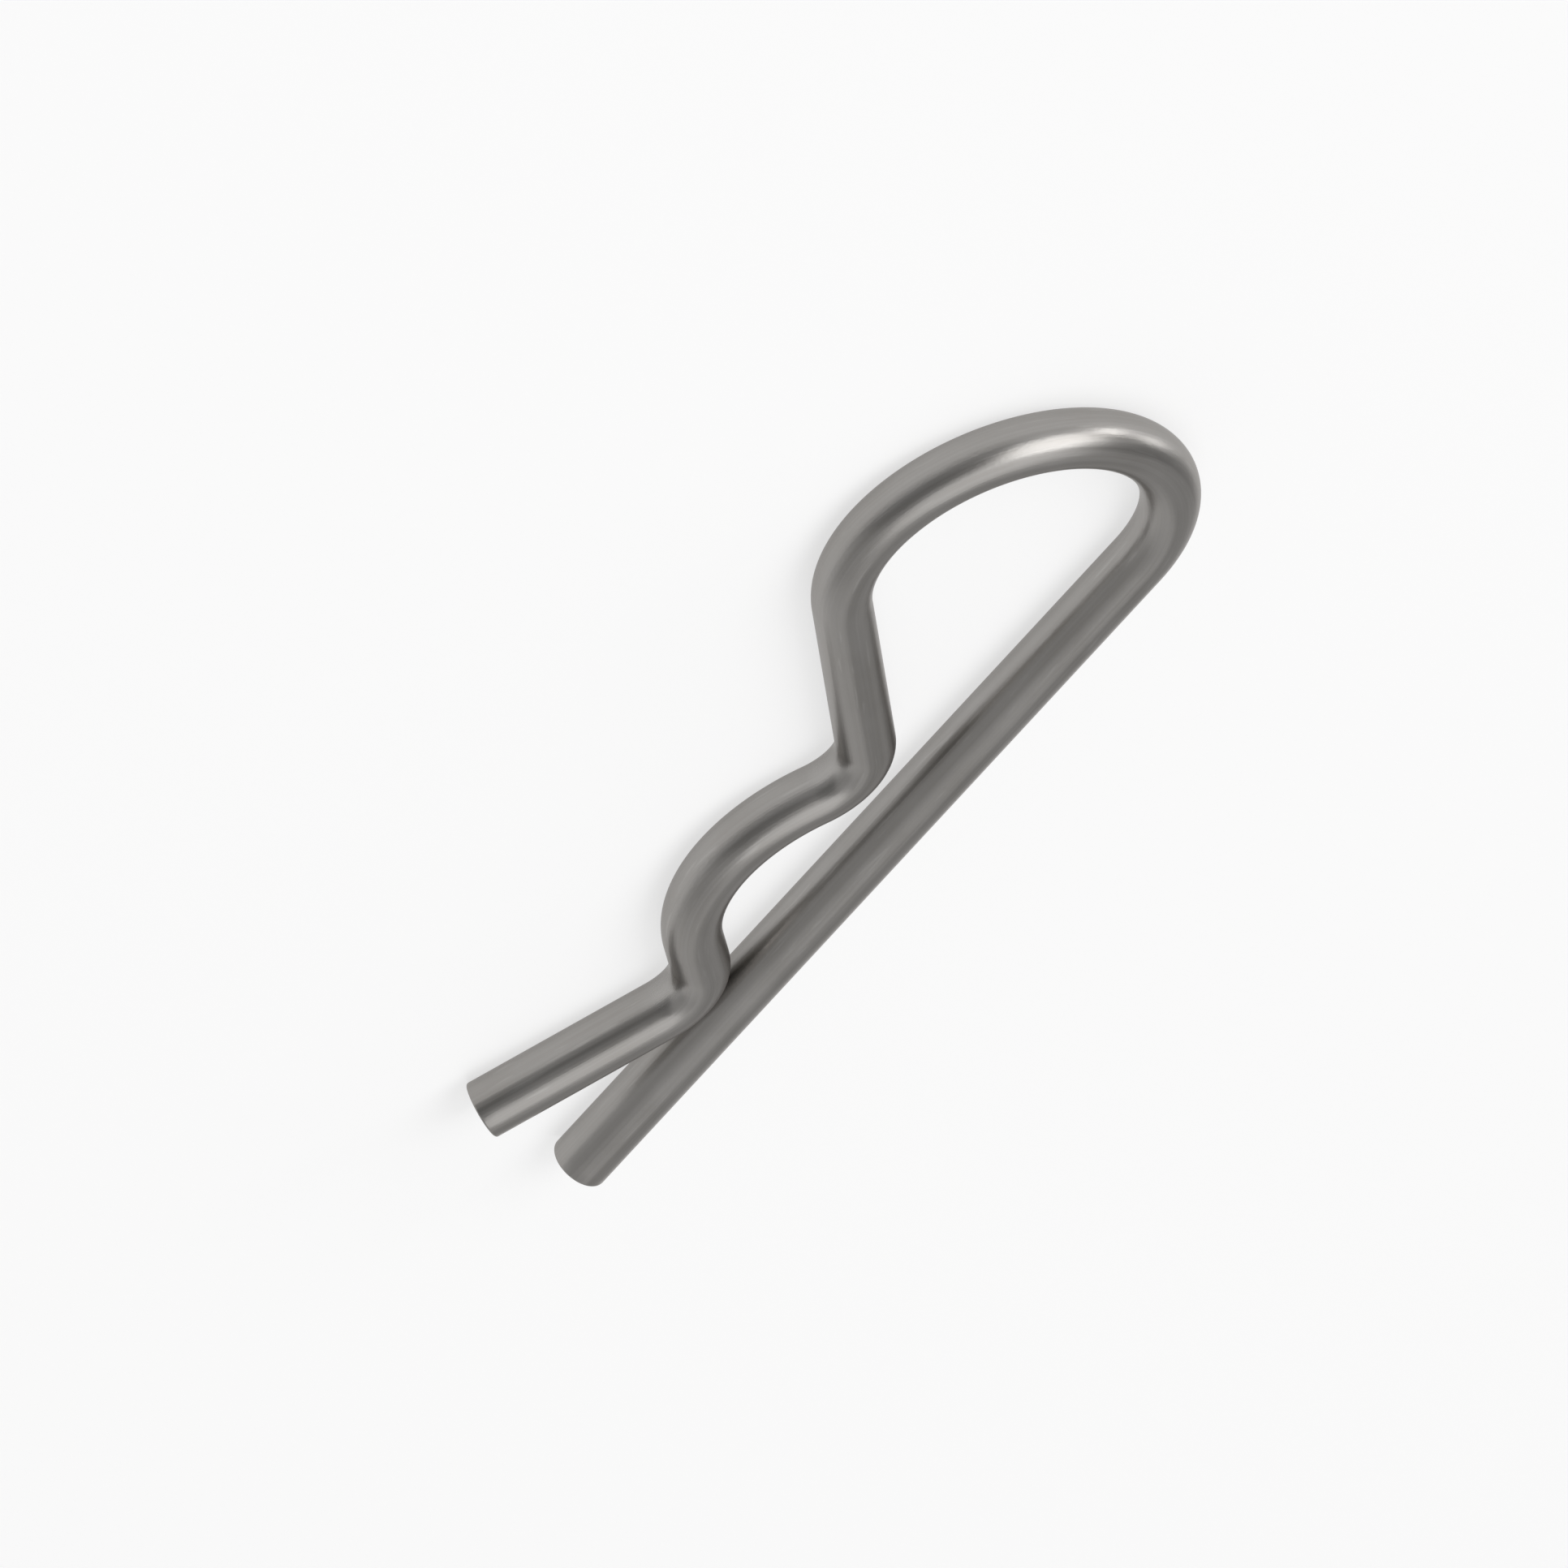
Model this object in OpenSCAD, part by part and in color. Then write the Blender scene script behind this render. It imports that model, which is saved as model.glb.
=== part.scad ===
// R-clip hitch pin: one length of round spring wire, bent in a single plane.
//
// The straight leg goes through the cross hole of a shaft and the bent leg snaps
// over the shaft's outside. Seen from above, with the cut end of the straight leg
// at the left, the wire runs: straight leg, bow, slanted run, neck bend, shaft
// seat, toe run, toe bend and flared end. Each stretch starts where the one
// before it ends, in the same direction, so the wire has no kink.
//
// The clip lies flat, with its plane level and the wire's underside at z = 0.
// +X runs along the straight leg towards the bow, +Y towards the bent leg.

/* [Wire] */
// Diameter of the wire
wire_d = 4; // [2.5:0.1:5.5]
// Edge break at the two cut ends
edge_break = 0.15; // [0.05:0.05:0.5]

/* [Straight leg] */
// Length of the straight leg past the shaft's centre
leg_reach = 31.2; // [22:0.2:60]

/* [Bow] */
// Clear diameter inside the bow
bow_inner_d = 18.75; // [14:0.25:24]

/* [Shaft seat] */
// Diameter of the shaft that the clip holds
shaft_d = 19; // [15:0.5:26]
// Distance from the bow's centre to the shaft's centre
seat_distance = 33.5; // [30:0.5:50]
// How far the seat springs open when the shaft is in it
grip = 0.8; // [0.2:0.1:2]

/* [Neck] */
// Inside radius of the neck bend
neck_bend_r = 2.7; // [1.5:0.1:5]
// Clear gap between the neck bend and the straight leg
neck_gap = 3.2; // [2:0.1:4.5]

/* [Toe] */
// Inside radius of the toe bend
toe_bend_r = 2.5; // [1.5:0.1:5]
// Clear gap between the toe bend and the straight leg
toe_gap = 0.08; // [0.05:0.01:1.5]
// Straight run between the shaft seat and the toe bend
toe_run = 2.6; // [0.5:0.1:6]

/* [Flared end] */
// Angle between the flared end and the straight leg
flare_angle = 30; // [15:1:45]
// Length of the flared end
flare_length = 13.5; // [6:0.5:24]

/* [Hidden] */
$fa = 2;
$fs = 0.2;
steel = [0.52, 0.515, 0.505];
// Share of a bend's turn that each of its two arcs covers
arc_share = 0.6;
// Step in which a turn is settled, in degrees, and how true its unit vector has to be
turn_step = 0.0001;
turn_tol = 5e-9;

// Mean radii, along the middle of the wire
wire_r = wire_d / 2;
bow_r = bow_inner_d / 2 + wire_r;
seat_r = shaft_d / 2 + wire_r;
neck_r = neck_bend_r + wire_r;
toe_r = toe_bend_r + wire_r;

// Bend centres. The straight leg's axis is y = 0 and the bow's centre is at x = 0.
bow_c = [0, bow_r];
seat_c = [-seat_distance, -grip];
neck_y = neck_gap + wire_d + neck_r;
neck_c = [seat_c.x + leg_of(seat_r + neck_r, neck_y - seat_c.y), neck_y];
toe_y = toe_gap + wire_d + toe_r;
toe_c = [seat_c.x - leg_of(norm([seat_r + toe_r, toe_run]), toe_y - seat_c.y), toe_y];

// Directions of the wire, in degrees from +X, on each straight run and where the
// neck bend turns over into the shaft seat
slant_dir = crossing_dir(bow_c, bow_r, neck_c, neck_r);
crest_dir = bearing(neck_c, seat_c) - 90;
toe_dir = crossing_dir(seat_c, seat_r, toe_c, toe_r);
flare_dir = 180 - flare_angle;

// Turn of each bend, from the direction that the one before it really ends in
bow_turn = settled(slant_dir);
neck_turn = settled(crest_dir - bow_turn);
seat_turn = settled(toe_dir - bow_turn - neck_turn);
toe_turn = settled(flare_dir - bow_turn - neck_turn - seat_turn);

// Lengths of the runs
leg_length = seat_distance + leg_reach;
slant_length = leg_of(norm(neck_c - bow_c), bow_r + neck_r);

// Outline in plan, which puts the origin under the middle of the clip
flare_end = toe_c - toe_r * side(flare_dir) + flare_length * ahead(flare_dir);
x_min = min(-leg_length, flare_end.x - rim_reach(sin(flare_angle), cos(flare_angle)));
x_max = bow_r + wire_r;
y_min = -wire_r;
y_max = max(bow_c.y + bow_r + wire_r, seat_c.y + seat_r + wire_r,
            flare_end.y + rim_reach(cos(flare_angle), sin(flare_angle)));
middle = [(x_min + x_max) / 2, (y_min + y_max) / 2];

// The other short side of a right triangle, from its long side and one short side
function leg_of(long, short) = sqrt(long * long - short * short);
// Direction from one point to another, from 0 to 360 degrees
function bearing(from, to) = (atan2(to.y - from.y, to.x - from.x) + 360) % 360;
// Direction of a run that leaves a left-hand bend and meets a right-hand bend
function crossing_dir(left_c, left_r, right_c, right_r) =
    bearing(left_c, right_c) + asin((left_r + right_r) / norm(right_c - left_c));
// The nearest turn on from this one whose sine and cosine, to six figures, still
// make a true unit vector. The two arcs of a bend are then one and the same ring.
function settled(turn) =
    abs(norm([six_figures(cos(turn)), six_figures(sin(turn))]) - 1) < turn_tol
        ? turn : settled(turn + turn_step);
function six_figures(x) = let(unit = pow(10, floor(log(abs(x))) - 5)) round(x / unit) * unit;
// How far a cut end reaches beyond the middle of its face: with the face's own edge, or
// with the full wire behind the broken edge. The two shares are those of the direction
// asked for across the wire and along it.
function rim_reach(across, along) =
    max((wire_r - edge_break) * across, wire_r * across - edge_break * along);
// Unit vector along a direction, and the one square to it on the right
function ahead(dir) = [cos(dir), sin(dir)];
function side(dir) = [sin(dir), -cos(dir)];

// A straight run of wire along +X. What follows it starts at its far end.
module run(length) {
    rotate([0, 90, 0]) cylinder(h = length, d = wire_d);
    translate([length, 0, 0]) children();
}

// A bend of the wire: a positive turn is to the left, a negative one to the right.
// It is drawn from both of its ends, so each end face is square to the run that it
// meets, and the two arcs overlap in the middle. What follows it starts at its far
// end, in the direction that the wire has there.
module bend(mean_r, turn) {
    hand = sign(turn);
    translate([0, hand * mean_r, 0]) {
        rotate([0, 0, -hand * 90]) arc(mean_r, turn * arc_share);
        rotate([0, 0, turn]) {
            rotate([0, 0, -hand * 90]) arc(mean_r, -turn * arc_share);
            translate([0, -hand * mean_r, 0]) children();
        }
    }
}

// A round arc of wire about the origin, between +X and the direction at an angle to it
module arc(mean_r, angle) {
    rotate_extrude(start = min(angle, 0), angle = abs(angle))
        translate([mean_r, 0]) circle(d = wire_d);
}

// The first stretch of the wire at a cut end, with its edge broken
module cut_end() {
    rotate([0, 90, 0]) cylinder(h = edge_break, d1 = wire_d - 2 * edge_break, d2 = wire_d);
    translate([edge_break, 0, 0]) children();
}

// The last stretch of the wire at a cut end
module last_cut_end() {
    rotate([0, 90, 0]) cylinder(h = edge_break, d1 = wire_d, d2 = wire_d - 2 * edge_break);
}

// The whole clip, as one wire from the straight leg's cut end to the flared end's
module r_clip() {
    color(steel)
    translate([-leg_length - middle.x, -middle.y, wire_r])
    cut_end()
    run(leg_length - edge_break)
    bend(bow_r, bow_turn)
    run(slant_length)
    bend(neck_r, neck_turn)
    bend(seat_r, seat_turn)
    run(toe_run)
    bend(toe_r, toe_turn)
    run(flare_length - edge_break)
    last_cut_end();
}

r_clip();
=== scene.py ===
"""R-clip hitch pin, dressed for rendering.

The clip is one length of round spring steel wire, bent in a single plane, and it
lies flat. Everything is in metres: +X runs along the straight leg towards the bow,
+Y from the straight leg towards the bent leg, and the floor is at z = 0.
"""

import logging
import math
from dataclasses import dataclass, field
from enum import Enum

import bmesh
import bpy
from mathutils import Matrix, Vector


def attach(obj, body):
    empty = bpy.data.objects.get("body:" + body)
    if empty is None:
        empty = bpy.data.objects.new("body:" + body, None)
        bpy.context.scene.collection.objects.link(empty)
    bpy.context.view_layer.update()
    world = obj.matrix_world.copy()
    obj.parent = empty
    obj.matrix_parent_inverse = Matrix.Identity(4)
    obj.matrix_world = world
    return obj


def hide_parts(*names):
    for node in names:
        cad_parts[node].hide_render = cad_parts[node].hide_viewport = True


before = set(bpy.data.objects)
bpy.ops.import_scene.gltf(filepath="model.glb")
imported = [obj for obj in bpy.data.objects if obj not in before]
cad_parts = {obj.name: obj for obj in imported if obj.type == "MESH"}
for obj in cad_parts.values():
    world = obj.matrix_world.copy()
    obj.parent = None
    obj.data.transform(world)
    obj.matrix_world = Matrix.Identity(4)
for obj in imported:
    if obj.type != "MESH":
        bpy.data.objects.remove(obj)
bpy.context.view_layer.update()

LOG = logging.getLogger("r_clip")
BODY = "root"
NODE = "r_clip"

# The wire's own coordinates, kept on its mesh: metres along the wire, then across
# it in the clip's plane and square to that plane, from the middle of the wire.
WIRE_COORDS = "wire_coords"
# How far bending stretches the wire's skin at each point, below 0 where it is pressed.
BEND_STRAIN = "bend_strain"
# Decimals that tell places along the wire apart, in metres.
PLACE_DECIMALS = 7

Colour = tuple[float, float, float]
# What a node's socket takes: another node's output, or a plain value.
Source = bpy.types.NodeSocket | float | tuple[float, ...]


class Surface(Enum):
    """The two kinds of surface on the wire, by material index."""

    DRAWN = 0
    CUT = 1


class Blend(Enum):
    """What a mix node blends: its data type, its two inputs and its output, by number."""

    VALUES = ("FLOAT", 2, 3, 0)
    COLOURS = ("RGBA", 6, 7, 2)


# ---------------------------------------------------------------- node helpers


def new_material(name: str) -> tuple[bpy.types.Material, bpy.types.NodeTree, bpy.types.Node]:
    """Make a material that holds one shader.

    Args:
        name: Name of the material.

    Returns:
        The material, its node tree and its Principled shader.
    """
    material = bpy.data.materials.new(name)
    material.use_nodes = True
    return material, material.node_tree, material.node_tree.nodes["Principled BSDF"]


def add_node(tree: bpy.types.NodeTree, kind: str, **values: object) -> bpy.types.Node:
    """Add a node to a tree and set its properties.

    Args:
        tree: Tree that gets the node.
        kind: Blender's name of the node type.
        **values: Properties to set on the node.

    Returns:
        The new node.
    """
    node = tree.nodes.new(kind)
    for key, value in values.items():
        setattr(node, key, value)
    return node


def feed(tree: bpy.types.NodeTree, source: Source, socket: bpy.types.NodeSocket) -> None:
    """Give a socket its value.

    Args:
        tree: Tree that holds the socket.
        source: Another node's output, or a plain value.
        socket: The socket that gets it.
    """
    if isinstance(source, bpy.types.NodeSocket):
        tree.links.new(source, socket)
    else:
        socket.default_value = source


def calculate(tree: bpy.types.NodeTree, operation: str, *sources: Source) -> bpy.types.NodeSocket:
    """Do arithmetic on patterns and plain numbers.

    Args:
        tree: Tree that gets the node.
        operation: Blender's name of the operation.
        *sources: What goes into it, in order.

    Returns:
        The result.
    """
    node = add_node(tree, "ShaderNodeMath", operation=operation)
    for source, socket in zip(sources, node.inputs):
        feed(tree, source, socket)
    return node.outputs["Value"]


def blend(
    tree: bpy.types.NodeTree, kind: Blend, share: Source, first: Source, second: Source
) -> bpy.types.NodeSocket:
    """Blend two values or two colours.

    Args:
        tree: Tree that gets the node.
        kind: What is blended.
        share: How much of the second shows, from 0 to 1.
        first: The first value or colour.
        second: The second value or colour.

    Returns:
        The blend.
    """
    data_type, low, high, out = kind.value
    mix = add_node(tree, "ShaderNodeMix", data_type=data_type)
    feed(tree, share, mix.inputs["Factor"])
    feed(tree, first, mix.inputs[low])
    feed(tree, second, mix.inputs[high])
    return mix.outputs[out]


def remap(
    tree: bpy.types.NodeTree,
    value: bpy.types.NodeSocket,
    span: tuple[float, float],
    target: tuple[float, float] = (0.0, 1.0),
) -> bpy.types.NodeSocket:
    """Stretch a pattern from one range to another, held at its ends.

    Args:
        tree: Tree that gets the node.
        value: The pattern's value.
        span: The range it is taken from.
        target: The range it is taken to.

    Returns:
        The stretched value.
    """
    node = add_node(tree, "ShaderNodeMapRange")
    node.inputs["From Min"].default_value, node.inputs["From Max"].default_value = span
    node.inputs["To Min"].default_value, node.inputs["To Max"].default_value = target
    tree.links.new(value, node.inputs["Value"])
    return node.outputs["Result"]


def colour_by(
    tree: bpy.types.NodeTree,
    value: bpy.types.NodeSocket,
    places: tuple[float, ...],
    colours: tuple[Colour, ...],
) -> bpy.types.NodeSocket:
    """Colour a pattern by its value.

    Args:
        tree: Tree that gets the node.
        value: The pattern's value.
        places: The values that have a colour of their own, in order.
        colours: Their colours.

    Returns:
        The colour.
    """
    ramp = add_node(tree, "ShaderNodeValToRGB")
    elements = ramp.color_ramp.elements
    while len(elements) < len(places):
        elements.new(1.0)
    for element, place, colour in zip(elements, places, colours):
        element.position = place
        element.color = (*colour, 1.0)
    tree.links.new(value, ramp.inputs["Fac"])
    return ramp.outputs["Color"]


def raise_relief(
    tree: bpy.types.NodeTree,
    height: bpy.types.NodeSocket,
    depth: float,
    under: bpy.types.NodeSocket | None = None,
) -> bpy.types.NodeSocket:
    """Turn a pattern into shallow relief.

    Args:
        tree: Tree that gets the node.
        height: The pattern's value.
        depth: Depth of the relief in metres.
        under: Relief that this one lies on.

    Returns:
        The surface's direction.
    """
    bump = add_node(tree, "ShaderNodeBump")
    bump.inputs["Strength"].default_value = 1.0
    bump.inputs["Distance"].default_value = depth
    tree.links.new(height, bump.inputs["Height"])
    if under is not None:
        tree.links.new(under, bump.inputs["Normal"])
    return bump.outputs["Normal"]


# ---------------------------------------------------------------- finishes


@dataclass(frozen=True)
class Grain:
    """A pattern that follows the wire, by its repeats per metre along and across it."""

    along: float
    across: float
    detail: float = 2.0

    def build(
        self, tree: bpy.types.NodeTree, coords: bpy.types.NodeSocket
    ) -> bpy.types.NodeSocket:
        """Add the pattern to a material.

        Args:
            tree: Tree that gets the nodes.
            coords: Socket with the wire's own coordinates.

        Returns:
            The pattern's value, from 0 to 1.
        """
        mapping = add_node(tree, "ShaderNodeMapping")
        mapping.inputs["Scale"].default_value = (self.along, self.across, self.across)
        noise = add_node(tree, "ShaderNodeTexNoise")
        noise.inputs["Scale"].default_value = 1.0
        noise.inputs["Detail"].default_value = self.detail
        tree.links.new(coords, mapping.inputs["Vector"])
        tree.links.new(mapping.outputs["Vector"], noise.inputs["Vector"])
        return noise.outputs["Fac"]


@dataclass(frozen=True)
class DrawnSteel:
    """Spring steel wire as the die leaves it: satin, with fine lines along it.

    Where a bend stretches the outside of the wire the skin turns a little rougher,
    and where the bending tool pressed its inside it is burnished. The rim is how much
    of its light the steel throws back where it is seen edge on. Each span is the part
    of a pattern's range, or of the strain, over which it takes effect.
    """

    light: Colour = (0.366, 0.354, 0.342)
    middle: Colour = (0.338, 0.326, 0.313)
    dark: Colour = (0.309, 0.296, 0.281)
    worn: Colour = (0.408, 0.397, 0.384)
    rim: Colour = (0.80, 0.79, 0.78)
    smooth: float = 0.28
    rough: float = 0.36
    lines: Grain = Grain(45.0, 5200.0, 2.0)
    bands: Grain = Grain(22.0, 1100.0, 2.0)
    clouds: Grain = Grain(170.0, 300.0, 3.0)
    scuffs: Grain = Grain(260.0, 3200.0, 1.0)
    grit: Grain = Grain(3600.0, 5200.0, 2.0)
    band_share: float = 0.4
    cloud_share: float = 0.4
    tone_span: tuple[float, float, float] = (0.36, 0.50, 0.64)
    scuff_span: tuple[float, float] = (0.66, 0.74)
    scuff_wear: float = 0.55
    strain_span: tuple[float, float] = (0.06, 0.40)
    stretched_roughness: float = 0.05
    burnished_roughness: float = -0.04
    burnished_wear: float = 0.35
    line_depth: float = 9.0e-6
    grit_depth: float = 4.0e-6
    peel_depth: float = 1.6e-5

    def build(self) -> bpy.types.Material:
        """Make the material.

        Returns:
            The drawn steel material.
        """
        material, tree, shader = new_material("drawn_spring_steel")
        shader.inputs["Metallic"].default_value = 1.0
        shader.inputs["Specular Tint"].default_value = (*self.rim, 1.0)
        coords = add_node(tree, "ShaderNodeAttribute", attribute_name=WIRE_COORDS).outputs["Vector"]
        strain = add_node(tree, "ShaderNodeAttribute", attribute_name=BEND_STRAIN).outputs["Fac"]
        lines, bands, clouds, scuffs, grit = (
            grain.build(tree, coords)
            for grain in (self.lines, self.bands, self.clouds, self.scuffs, self.grit)
        )
        begun, full = self.strain_span
        stretched = remap(tree, strain, (begun, full))
        pressed = remap(tree, strain, (-begun, -full))

        streaks = blend(tree, Blend.VALUES, self.band_share, lines, bands)
        tone = blend(tree, Blend.VALUES, self.cloud_share, streaks, clouds)
        plain = colour_by(tree, tone, self.tone_span, (self.dark, self.middle, self.light))
        marked = remap(tree, scuffs, self.scuff_span, (0.0, self.scuff_wear))
        rubbed = calculate(tree, "MULTIPLY", pressed, self.burnished_wear)
        wear = calculate(tree, "MAXIMUM", marked, rubbed)
        colour = blend(tree, Blend.COLOURS, wear, plain, (*self.worn, 1.0))
        tree.links.new(colour, shader.inputs["Base Color"])

        lowest, _, highest = self.tone_span
        sheen = remap(tree, tone, (lowest, highest), (self.smooth, self.rough))
        sheen = calculate(tree, "MULTIPLY_ADD", stretched, self.stretched_roughness, sheen)
        sheen = calculate(tree, "MULTIPLY_ADD", pressed, self.burnished_roughness, sheen)
        tree.links.new(sheen, shader.inputs["Roughness"])

        peel = calculate(tree, "MULTIPLY", grit, stretched)
        relief = raise_relief(tree, grit, self.grit_depth)
        relief = raise_relief(tree, peel, self.peel_depth, relief)
        relief = raise_relief(tree, lines, self.line_depth, relief)
        tree.links.new(relief, shader.inputs["Normal"])
        return material


@dataclass(frozen=True)
class CutSteel:
    """The sheared ends of the wire: a little brighter, with marks across the face.

    The squeeze scales the pattern along the wire, across it in the clip's plane and
    square to that plane, so that the marks run level across the face.
    """

    light: Colour = (0.42, 0.41, 0.40)
    dark: Colour = (0.31, 0.30, 0.29)
    tone_span: tuple[float, float] = (0.35, 0.65)
    roughness: float = 0.42
    marks: Grain = Grain(400.0, 900.0, 3.0)
    squeeze: tuple[float, float, float] = (1.0, 0.3, 4.5)
    mark_depth: float = 3.0e-5

    def build(self) -> bpy.types.Material:
        """Make the material.

        Returns:
            The cut steel material.
        """
        material, tree, shader = new_material("sheared_spring_steel")
        shader.inputs["Metallic"].default_value = 1.0
        shader.inputs["Roughness"].default_value = self.roughness
        coords = add_node(tree, "ShaderNodeAttribute", attribute_name=WIRE_COORDS).outputs["Vector"]
        squeezed = add_node(tree, "ShaderNodeMapping")
        squeezed.inputs["Scale"].default_value = self.squeeze
        tree.links.new(coords, squeezed.inputs["Vector"])
        marks = self.marks.build(tree, squeezed.outputs["Vector"])
        colour = colour_by(tree, marks, self.tone_span, (self.dark, self.light))
        tree.links.new(colour, shader.inputs["Base Color"])
        tree.links.new(raise_relief(tree, marks, self.mark_depth), shader.inputs["Normal"])
        return material


@dataclass(frozen=True)
class PaleFloor:
    """A plain matt white studio floor, which keeps a faint shadow of the clip.

    Its own white is the share of plain white in what the camera sees of it, and in
    what steel mirrors.
    """

    colour: Colour = (0.95, 0.95, 0.95)
    roughness: float = 0.9
    specular: float = 0.2
    own_white: float = 0.65

    def build(self) -> bpy.types.Material:
        """Make the material.

        Returns:
            The floor material.
        """
        material, tree, shader = new_material("pale_floor")
        shader.inputs["Base Color"].default_value = (*self.colour, 1.0)
        shader.inputs["Roughness"].default_value = self.roughness
        shader.inputs["Specular IOR Level"].default_value = self.specular
        white = add_node(tree, "ShaderNodeEmission")
        white.inputs["Strength"].default_value = 1.0
        rays = add_node(tree, "ShaderNodeLightPath").outputs
        seen = calculate(tree, "MAXIMUM", rays["Is Camera Ray"], rays["Is Glossy Ray"])
        seen = calculate(tree, "MAXIMUM", seen, rays["Is Transmission Ray"])
        mix = add_node(tree, "ShaderNodeMixShader")
        links = tree.links
        links.new(calculate(tree, "MULTIPLY", seen, self.own_white), mix.inputs["Fac"])
        links.new(shader.outputs["BSDF"], mix.inputs[1])
        links.new(white.outputs["Emission"], mix.inputs[2])
        links.new(mix.outputs["Shader"], tree.nodes["Material Output"].inputs["Surface"])
        return material


# ---------------------------------------------------------------- the wire's path


@dataclass(frozen=True)
class Run:
    """A straight stretch of the wire."""

    length: float


@dataclass(frozen=True)
class Bend:
    """A bend of the wire: its mean radius, and its turn in radians, positive to the left."""

    radius: float
    turn: float


@dataclass(frozen=True)
class ClipForm:
    """Sizes of the clip in metres and radians, and the wire that follows from them."""

    wire_diameter: float = 0.004
    edge_break: float = 0.00015
    leg_reach: float = 0.0312
    bow_inner_diameter: float = 0.01875
    shaft_diameter: float = 0.019
    seat_distance: float = 0.0335
    grip: float = 0.0008
    neck_inner_radius: float = 0.0027
    neck_gap: float = 0.0032
    toe_inner_radius: float = 0.0025
    toe_gap: float = 0.00008
    toe_run: float = 0.0026
    flare_angle: float = math.radians(30)
    flare_length: float = 0.0135

    @property
    def wire_radius(self) -> float:
        """Radius of the wire."""
        return self.wire_diameter / 2

    @property
    def bow_radius(self) -> float:
        """Mean radius of the bow."""
        return self.bow_inner_diameter / 2 + self.wire_radius

    @property
    def seat_radius(self) -> float:
        """Mean radius of the shaft seat."""
        return self.shaft_diameter / 2 + self.wire_radius

    @property
    def neck_radius(self) -> float:
        """Mean radius of the neck bend."""
        return self.neck_inner_radius + self.wire_radius

    @property
    def toe_radius(self) -> float:
        """Mean radius of the toe bend."""
        return self.toe_inner_radius + self.wire_radius

    @property
    def leg_length(self) -> float:
        """Length of the straight leg, from its cut end to the bow."""
        return self.seat_distance + self.leg_reach

    def centres(self) -> tuple[Vector, Vector, Vector, Vector]:
        """Find the centres of the bends, from the bow's centre line on the straight leg.

        Returns:
            The centres of the bow, the neck bend, the shaft seat and the toe bend.
        """
        bow = Vector((0.0, self.bow_radius))
        seat = Vector((-self.seat_distance, -self.grip))
        neck_y = self.neck_gap + self.wire_diameter + self.neck_radius
        neck_x = seat.x + other_side(self.seat_radius + self.neck_radius, neck_y - seat.y)
        toe_y = self.toe_gap + self.wire_diameter + self.toe_radius
        toe_reach = math.hypot(self.seat_radius + self.toe_radius, self.toe_run)
        toe_x = seat.x - other_side(toe_reach, toe_y - seat.y)
        return bow, Vector((neck_x, neck_y)), seat, Vector((toe_x, toe_y))

    def stretches(self) -> list[Run | Bend]:
        """List the stretches of wire, from the straight leg's cut end to the flared end's.

        Returns:
            The runs and bends, in order.
        """
        bow, neck, seat, toe = self.centres()
        slant = crossing(bow, self.bow_radius, neck, self.neck_radius)
        crest = bearing(neck, seat) - math.pi / 2
        down = crossing(seat, self.seat_radius, toe, self.toe_radius)
        flare = math.pi - self.flare_angle
        slant_length = other_side((neck - bow).length, self.bow_radius + self.neck_radius)
        return [
            Run(self.leg_length),
            Bend(self.bow_radius, slant),
            Run(slant_length),
            Bend(self.neck_radius, crest - slant),
            Bend(self.seat_radius, down - crest),
            Run(self.toe_run),
            Bend(self.toe_radius, flare - down),
            Run(self.flare_length),
        ]


def fade(share: float) -> float:
    """Return a smooth step from 0 to 1 round a share of 0."""
    held = min(1.0, max(0.0, share / 2 + 0.5))
    return held * held * (3 - 2 * held)


def other_side(long: float, short: float) -> float:
    """Return the other short side of a right triangle."""
    return math.sqrt(long * long - short * short)


def bearing(start: Vector, end: Vector) -> float:
    """Return the direction from one point to another, from 0 to a full turn."""
    return math.atan2(end.y - start.y, end.x - start.x) % math.tau


def crossing(left: Vector, left_radius: float, right: Vector, right_radius: float) -> float:
    """Find the direction of a run that leaves a left-hand bend and meets a right-hand one.

    Args:
        left: Centre of the left-hand bend.
        left_radius: Its mean radius.
        right: Centre of the right-hand bend.
        right_radius: Its mean radius.

    Returns:
        The direction in radians.
    """
    return bearing(left, right) + math.asin((left_radius + right_radius) / (right - left).length)


# ---------------------------------------------------------------- the clip


def points_and_edges(
    made: list[bmesh.types.BMVert | bmesh.types.BMEdge | bmesh.types.BMFace],
) -> tuple[list[bmesh.types.BMVert], list[bmesh.types.BMEdge]]:
    """Pick the points and the edges out of what an operator made.

    Args:
        made: What the operator made.

    Returns:
        Its points and its edges.
    """
    points = [item for item in made if isinstance(item, bmesh.types.BMVert)]
    edges = [item for item in made if isinstance(item, bmesh.types.BMEdge)]
    return points, edges


@dataclass
class Tip:
    """The end of the wire as it is drawn: where it is, where it heads, how long it is."""

    point: Vector
    heading: float = 0.0
    travelled: float = 0.0

    @property
    def ahead(self) -> Vector:
        """Direction of the wire."""
        return Vector((math.cos(self.heading), math.sin(self.heading), 0.0))

    @property
    def left(self) -> Vector:
        """Direction across the wire, in the clip's plane."""
        return Vector((-math.sin(self.heading), math.cos(self.heading), 0.0))


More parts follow.
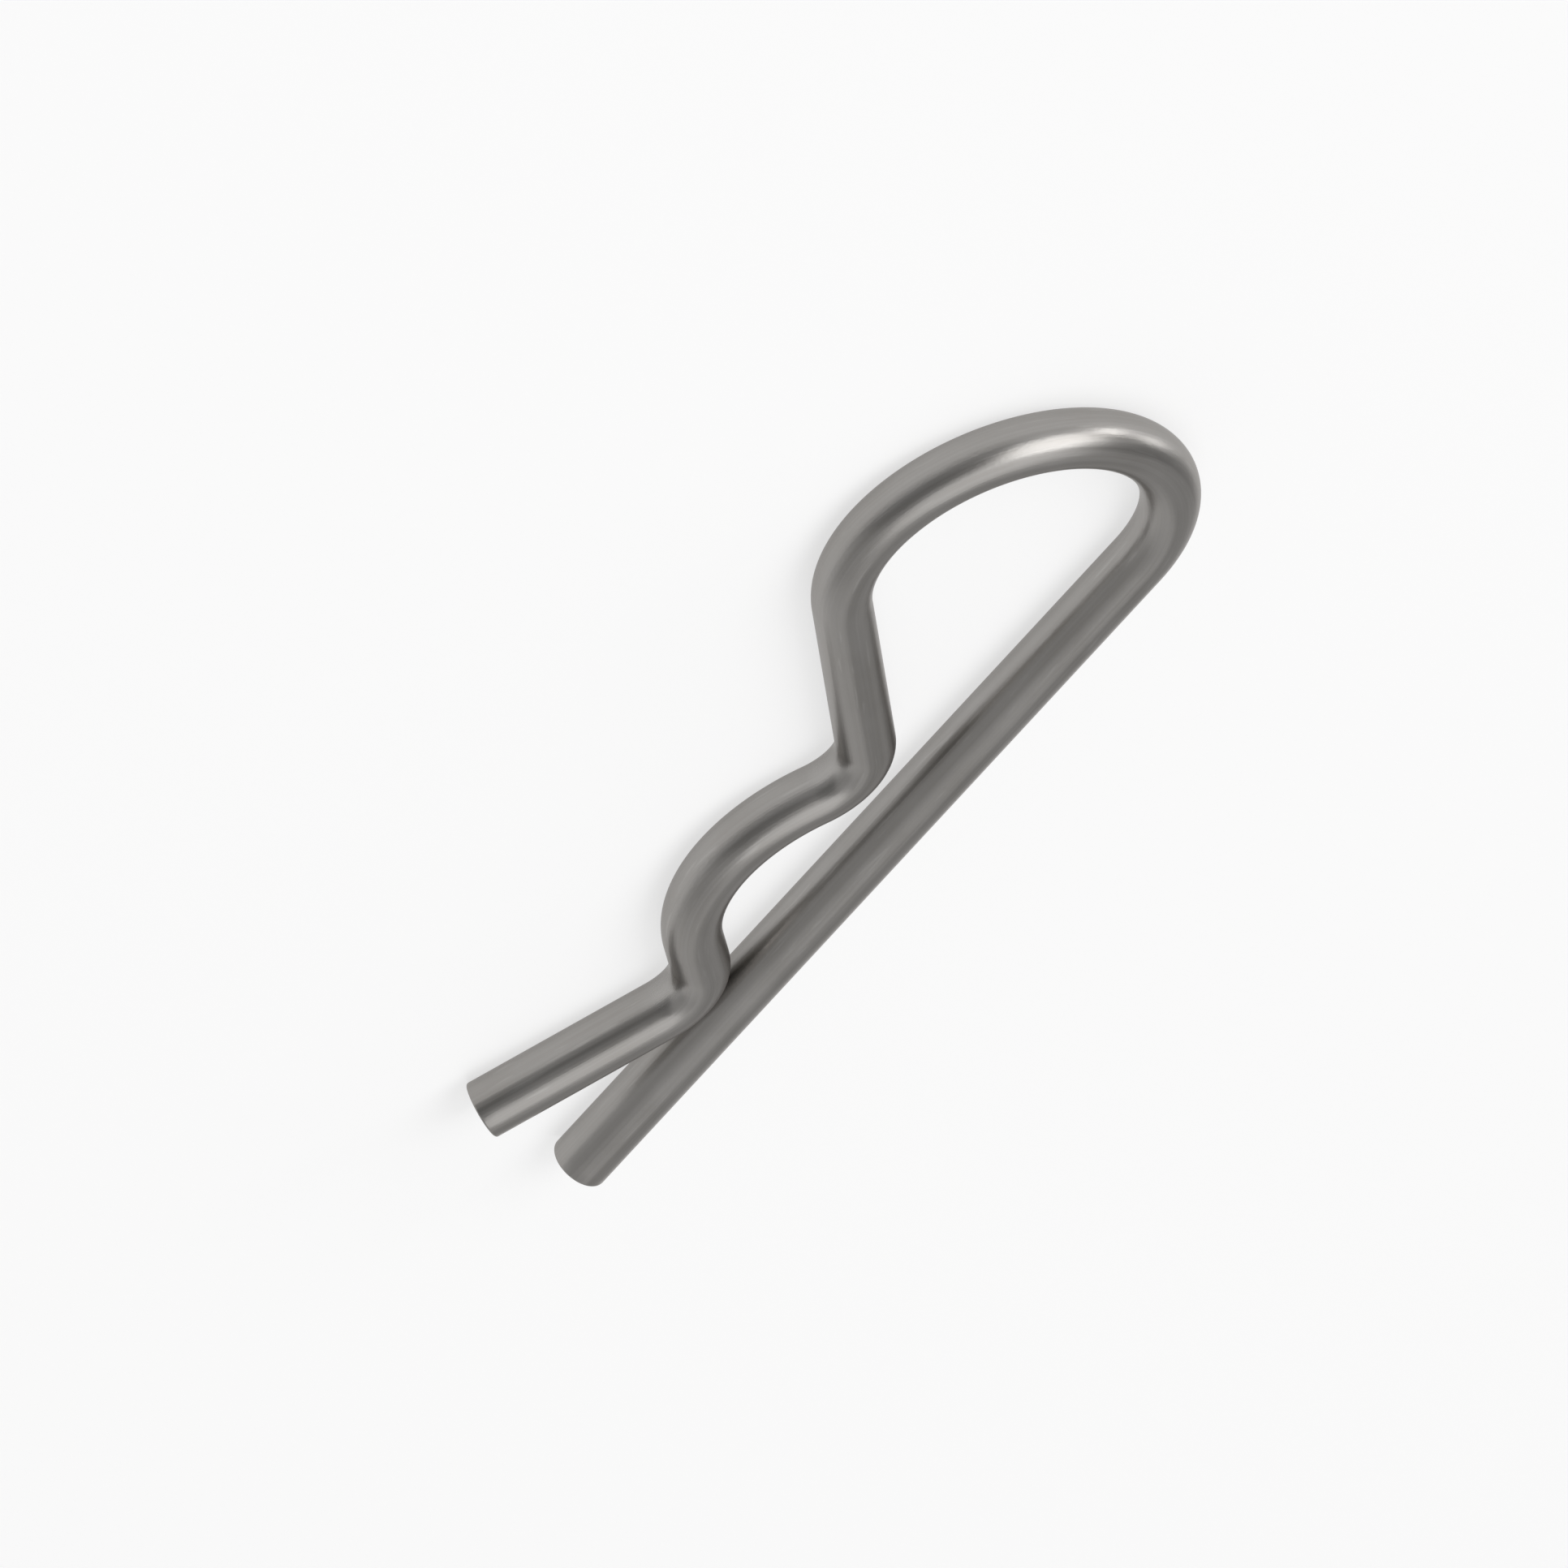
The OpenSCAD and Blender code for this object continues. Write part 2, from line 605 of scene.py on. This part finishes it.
@dataclass
class WireClip:
    """The whole clip, drawn as one wire from cut end to cut end."""

    form: ClipForm = field(default_factory=ClipForm)
    finish: DrawnSteel = field(default_factory=DrawnSteel)
    cut_finish: CutSteel = field(default_factory=CutSteel)
    sides: int = 96
    bend_step: float = math.radians(1.5)
    run_step: float = 0.001
    edge_segments: int = 4
    strain_blend: float = 0.0015

    def start(self) -> Vector:
        """Find the middle of the straight leg's cut end, with the clip centred on the origin.

        Returns:
            The point.
        """
        form = self.form
        low_x = -form.leg_length
        high_x = form.bow_radius + form.wire_radius
        low_y = -form.wire_radius
        high_y = 2 * form.bow_radius + form.wire_radius
        return Vector((low_x - (low_x + high_x) / 2, -(low_y + high_y) / 2, form.wire_radius))

    def mark(self, mesh: bmesh.types.BMesh, verts: list[bmesh.types.BMVert], tip: Tip) -> None:
        """Keep the wire's own coordinates on some of its points.

        Args:
            mesh: Mesh that holds the points.
            verts: The points, all of them near the tip.
            tip: The tip whose length and directions they are measured from.
        """
        layer = mesh.verts.layers.float_vector[WIRE_COORDS]
        for vert in verts:
            offset = vert.co - tip.point
            vert[layer] = Vector((tip.travelled + offset @ tip.ahead, offset @ tip.left, offset.z))

    def first_ring(self, mesh: bmesh.types.BMesh, tip: Tip) -> list[bmesh.types.BMEdge]:
        """Make the round outline of the wire at its first cut end, and close it.

        Args:
            mesh: Empty mesh that gets the outline.
            tip: The wire's first end.

        Returns:
            The edges of the outline.
        """
        made = bmesh.ops.create_circle(
            mesh, cap_ends=True, segments=self.sides, radius=self.form.wire_radius
        )
        upright = Matrix.Rotation(math.pi / 2, 4, "Y")
        bmesh.ops.transform(
            mesh, matrix=Matrix.Translation(tip.point) @ upright, verts=made["verts"]
        )
        self.mark(mesh, made["verts"], tip)
        return mesh.edges[:]

    def draw_run(
        self, mesh: bmesh.types.BMesh, ring: list[bmesh.types.BMEdge], tip: Tip, run: Run
    ) -> list[bmesh.types.BMEdge]:
        """Draw a straight run of wire.

        Args:
            mesh: Mesh that gets the run.
            ring: Outline that the run starts from.
            tip: The wire's end, which moves on.
            run: The run to draw.

        Returns:
            The outline at the run's far end.
        """
        steps = max(1, round(run.length / self.run_step))
        step = run.length / steps
        for _ in range(steps):
            made = bmesh.ops.extrude_edge_only(mesh, edges=ring)["geom"]
            verts, ring = points_and_edges(made)
            bmesh.ops.translate(mesh, vec=tip.ahead * step, verts=verts)
            tip.point = tip.point + tip.ahead * step
            tip.travelled += step
            self.mark(mesh, verts, tip)
        return ring

    def draw_bend(
        self, mesh: bmesh.types.BMesh, ring: list[bmesh.types.BMEdge], tip: Tip, bend: Bend
    ) -> list[bmesh.types.BMEdge]:
        """Draw a bend of the wire.

        Args:
            mesh: Mesh that gets the bend.
            ring: Outline that the bend starts from.
            tip: The wire's end, which moves on.
            bend: The bend to draw.

        Returns:
            The outline at the bend's far end.
        """
        steps = max(1, round(abs(bend.turn) / self.bend_step))
        step = bend.turn / steps
        hand = math.copysign(1.0, bend.turn)
        centre = tip.point + tip.left * hand * bend.radius
        for _ in range(steps):
            made = bmesh.ops.spin(
                mesh,
                geom=ring,
                cent=centre,
                axis=(0.0, 0.0, 1.0),
                angle=step,
                steps=1,
                use_merge=False,
                use_duplicate=False,
            )["geom_last"]
            verts, ring = points_and_edges(made)
            tip.heading += step
            tip.point = centre - tip.left * hand * bend.radius
            tip.travelled += abs(step) * bend.radius
            self.mark(mesh, verts, tip)
        return ring

    def break_edge(self, mesh: bmesh.types.BMesh, cap: bmesh.types.BMFace, tip: Tip) -> None:
        """Round the sharp edge round a cut end, and mark the cut face.

        Args:
            mesh: Mesh that holds the cut end.
            cap: The flat face of the cut end.
            tip: The wire's end there.
        """
        cap.material_index = Surface.CUT.value
        made = bmesh.ops.bevel(
            mesh,
            geom=list(cap.edges),
            offset=self.form.edge_break,
            offset_type="OFFSET",
            segments=self.edge_segments,
            profile=0.5,
            affect="EDGES",
            clamp_overlap=True,
            loop_slide=True,
            material=-1,
        )
        self.mark(mesh, made["verts"], tip)

    def curvature(self, place: float) -> float:
        """Find how tightly the wire is bent at a place, faded at the ends of each bend.

        Args:
            place: Distance along the wire from the straight leg's cut end.

        Returns:
            One over the mean radius, positive where the wire turns to the left.
        """
        total, begin = 0.0, 0.0
        for stretch in self.form.stretches():
            if isinstance(stretch, Run):
                begin += stretch.length
                continue
            end = begin + stretch.radius * abs(stretch.turn)
            rise = fade((place - begin) / self.strain_blend)
            fall = fade((end - place) / self.strain_blend)
            total += rise * fall * math.copysign(1 / stretch.radius, stretch.turn)
            begin = end
        return total

    def mark_strain(self, mesh: bmesh.types.BMesh) -> None:
        """Keep on each point how far bending stretches the skin there.

        Args:
            mesh: The finished wire.
        """
        coords = mesh.verts.layers.float_vector[WIRE_COORDS]
        strain = mesh.verts.layers.float[BEND_STRAIN]
        tightness: dict[float, float] = {}
        for vert in mesh.verts:
            place = round(vert[coords].x, PLACE_DECIMALS)
            if place not in tightness:
                tightness[place] = self.curvature(place)
            vert[strain] = -vert[coords].y * tightness[place]

    def settle_order(self, mesh: bmesh.types.BMesh) -> None:
        """Put the edges and faces in the order of their points.

        Blender's extrusions leave them in another order on each run. Each is ranked by its
        lowest point and the point after it, a pair that no two of a closed mesh share.

        Args:
            mesh: The finished wire.
        """
        mesh.verts.index_update()
        count = len(mesh.verts)

        def rank(item: bmesh.types.BMEdge | bmesh.types.BMFace) -> int:
            places = [vert.index for vert in item.verts]
            low = places.index(min(places))
            return places[low] * count + places[(low + 1) % len(places)]

        mesh.edges.sort(key=rank)
        mesh.faces.sort(key=rank)

    def build(self) -> None:
        """Draw the wire, dress it and add it to the scene."""
        mesh = bmesh.new()
        mesh.verts.layers.float_vector.new(WIRE_COORDS)
        mesh.verts.layers.float.new(BEND_STRAIN)
        tip = Tip(self.start())
        first = Tip(tip.point.copy())
        ring = self.first_ring(mesh, tip)
        mesh.faces.ensure_lookup_table()
        first_cap = mesh.faces[0]
        for stretch in self.form.stretches():
            if isinstance(stretch, Run):
                ring = self.draw_run(mesh, ring, tip, stretch)
            else:
                ring = self.draw_bend(mesh, ring, tip, stretch)
        last_cap = bmesh.ops.contextual_create(mesh, geom=ring)["faces"][0]
        self.break_edge(mesh, first_cap, first)
        self.break_edge(mesh, last_cap, tip)
        bmesh.ops.recalc_face_normals(mesh, faces=mesh.faces[:])
        self.mark_strain(mesh)
        self.settle_order(mesh)
        for face in mesh.faces:
            face.smooth = True
        data = bpy.data.meshes.new("clip_wire")
        mesh.to_mesh(data)
        mesh.free()
        piece = bpy.data.objects.new("clip_wire", data)
        bpy.context.scene.collection.objects.link(piece)
        finishes = {Surface.DRAWN: self.finish, Surface.CUT: self.cut_finish}
        for surface in Surface:
            data.materials.append(finishes[surface].build())
        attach(piece, BODY)
        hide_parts(NODE)
        LOG.info("%s: %d faces, %.4f m of wire", piece.name, len(data.polygons), tip.travelled)


# ---------------------------------------------------------------- the studio


@dataclass(frozen=True)
class SoftBox:
    """A round softbox that faces the clip, by its place and spread in degrees.

    Its spread is half the angle that it fills, as seen from the clip.
    """

    name: str
    azimuth: float
    height: float
    spread: float
    radiance: float
    distance: float = 1.6

    def build(self, target: Vector) -> None:
        """Place the lamp.

        Args:
            target: Point that the lamp faces.
        """
        radius = self.distance * math.tan(math.radians(self.spread))
        lamp = bpy.data.lights.new(self.name, "AREA")
        lamp.shape = "DISK"
        lamp.size = 2 * radius
        # A flat lamp's power is its radiance times pi times its area.
        lamp.energy = self.radiance * math.pi * math.pi * radius * radius
        turn, rise = math.radians(self.azimuth), math.radians(self.height)
        away = Vector(
            (math.cos(turn) * math.cos(rise), math.sin(turn) * math.cos(rise), math.sin(rise))
        )
        holder = bpy.data.objects.new(self.name, lamp)
        holder.location = target + away * self.distance
        holder.rotation_euler = away.to_track_quat("Z", "Y").to_euler()
        bpy.context.scene.collection.objects.link(holder)


@dataclass(frozen=True)
class Surroundings:
    """The even light of the room: pale at its foot, dimmer up the walls, dimmest halfway.

    Each level is the height of a direction, from -1 straight down to 1 straight up,
    and how bright the room is there.
    """

    levels: tuple[tuple[float, float], ...] = (
        (0.005, 0.95),
        (0.02, 0.44),
        (0.10, 0.42),
        (0.25, 0.34),
        (0.45, 0.20),
        (0.70, 0.27),
    )

    def build(self) -> None:
        """Make the world and give it to the scene."""
        world = bpy.data.worlds.new("studio")
        world.use_nodes = True
        tree = world.node_tree
        coords = add_node(tree, "ShaderNodeTexCoord")
        parts = add_node(tree, "ShaderNodeSeparateXYZ")
        tree.links.new(coords.outputs["Generated"], parts.inputs["Vector"])
        height = remap(tree, parts.outputs["Z"], (-1.0, 1.0))
        places = tuple((z + 1) / 2 for z, _ in self.levels)
        greys = tuple((level, level, level) for _, level in self.levels)
        grey = colour_by(tree, height, places, greys)
        tree.links.new(grey, tree.nodes["Background"].inputs["Color"])
        bpy.context.scene.world = world


@dataclass(frozen=True)
class Studio:
    """The floor, the lamps, the surrounding light and the camera."""

    floor_size: float = 6.0
    floor_finish: PaleFloor = field(default_factory=PaleFloor)
    surroundings: Surroundings = field(default_factory=Surroundings)
    boxes: tuple[SoftBox, ...] = (
        SoftBox("key_box", -5, 40, 24, 2.80),
        SoftBox("top_box", 0, 88, 30, 0.96),
        SoftBox("back_box", 165, 28, 42, 0.25),
        SoftBox("far_box", -175, 20, 20, 0.20),
        SoftBox("side_box", -125, 34, 30, 0.21),
        SoftBox("low_box", -32, 9, 9, 4.80),
        SoftBox("low_side_box", -60, 8, 8, 3.36),
    )
    target: tuple[float, float, float] = (0.004014, 0.004656, 0.005521)
    view_right: tuple[float, float, float] = (0.56016, -0.75125, 0.34905)
    view_up: tuple[float, float, float] = (0.60457, 0.08269, -0.79225)
    view_back: tuple[float, float, float] = (0.56632, 0.65481, 0.50051)
    view_width: float = 0.101684
    view_distance: float = 0.5
    view_nearest: float = 0.01
    view_farthest: float = 10.0

    def build_floor(self) -> None:
        """Lay the floor."""
        mesh = bmesh.new()
        bmesh.ops.create_grid(mesh, x_segments=1, y_segments=1, size=self.floor_size / 2)
        data = bpy.data.meshes.new("floor")
        mesh.to_mesh(data)
        mesh.free()
        floor = bpy.data.objects.new("floor", data)
        data.materials.append(self.floor_finish.build())
        bpy.context.scene.collection.objects.link(floor)

    def build_camera(self) -> None:
        """Set up the camera, with parallel rays."""
        lens = bpy.data.cameras.new("camera")
        lens.type = "ORTHO"
        lens.ortho_scale = self.view_width
        lens.clip_start = self.view_nearest
        lens.clip_end = self.view_farthest
        camera = bpy.data.objects.new("camera", lens)
        axes = Matrix((self.view_right, self.view_up, self.view_back)).transposed()
        place = Vector(self.target) + Vector(self.view_back) * self.view_distance
        camera.matrix_world = Matrix.Translation(place) @ axes.to_4x4()
        bpy.context.scene.collection.objects.link(camera)
        bpy.context.scene.camera = camera

    def build(self) -> None:
        """Set up the whole studio."""
        self.build_camera()
        self.build_floor()
        self.surroundings.build()
        for box in self.boxes:
            box.build(Vector(self.target))
        bpy.context.scene.view_settings.view_transform = "Standard"
        LOG.info("studio: %d lamps", len(self.boxes))


def main() -> None:
    """Build the clip and its studio."""
    logging.basicConfig(level=logging.INFO, format="%(name)s: %(message)s")
    Studio().build()
    WireClip().build()


if __name__ == "__main__":
    main()
